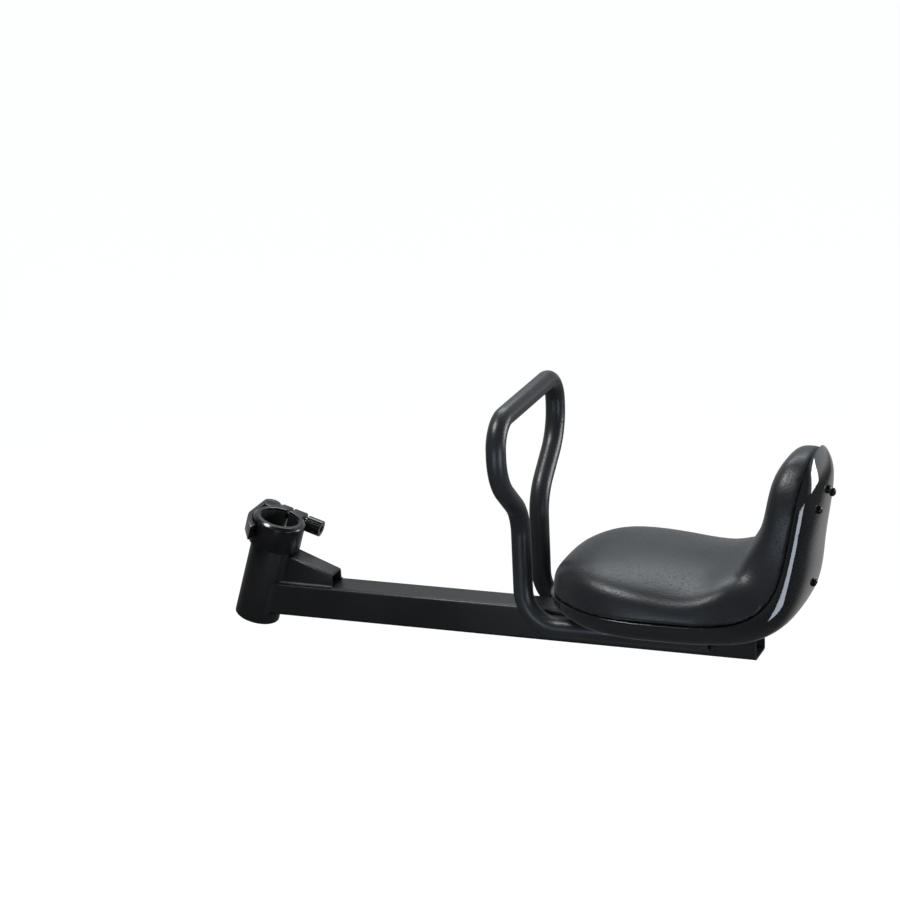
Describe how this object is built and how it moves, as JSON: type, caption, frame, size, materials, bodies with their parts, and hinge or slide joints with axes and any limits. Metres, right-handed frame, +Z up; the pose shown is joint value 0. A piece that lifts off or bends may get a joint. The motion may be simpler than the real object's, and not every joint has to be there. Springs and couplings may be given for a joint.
{
  "type": "rear child bike seat",
  "caption": "Padded bucket seat with a glossy shell on a square beam that clamps round a bicycle's seat post, with a bent hand hoop in front of the child.",
  "frame": {"origin": "on the sleeve's axis, where it crosses the plane of the beam's top face", "axes": "+X rearward along the beam, +Y to the bike's right, +Z up"},
  "size_m": [0.5464, 0.176, 0.2332],
  "materials": {
    "frame": "satin black powder coat",
    "hoop": "satin black powder coat",
    "clamp": "glossy black coat",
    "steel": "zinc plated",
    "bearing": "plain moulded",
    "shell": "high gloss moulded",
    "board": "plain plywood",
    "cushion": "fine grained soft skin",
    "screws": "black oxide"
  },
  "bodies": {
    "frame": {"sleeve_tube": "frame", "main_beam": "frame", "gusset_channel": "frame", "handle_hoop": "hoop", "clamp_collar": "clamp", "clamp_bolt": "steel", "lever_pin": "steel", "cam_washer": "bearing", "seat_plate": "frame", "seat_shell": "shell", "seat_board": "board", "seat_cushion": "cushion", "tee_nuts": "steel", "seat_washers": "steel", "seat_bolts": "steel", "shell_screws": "screws"},
    "lever": {"cam_lever": "clamp"},
    "nut": {"adjusting_nut": "clamp"}
  },
  "joints": [
    {"name": "lever_hinge", "type": "hinge", "parent": "frame", "child": "lever", "pos_m": [-0.00576, 0.03, 0.053], "axis": [-0.2924, 0, -0.9563], "range_deg": [0, 150]},
    {"name": "nut_turn", "type": "hinge", "parent": "frame", "child": "nut", "pos_m": [0.03345, 0.03, 0.04101], "axis": [0.9563, 0, -0.2924], "continuous": true}
  ]
}
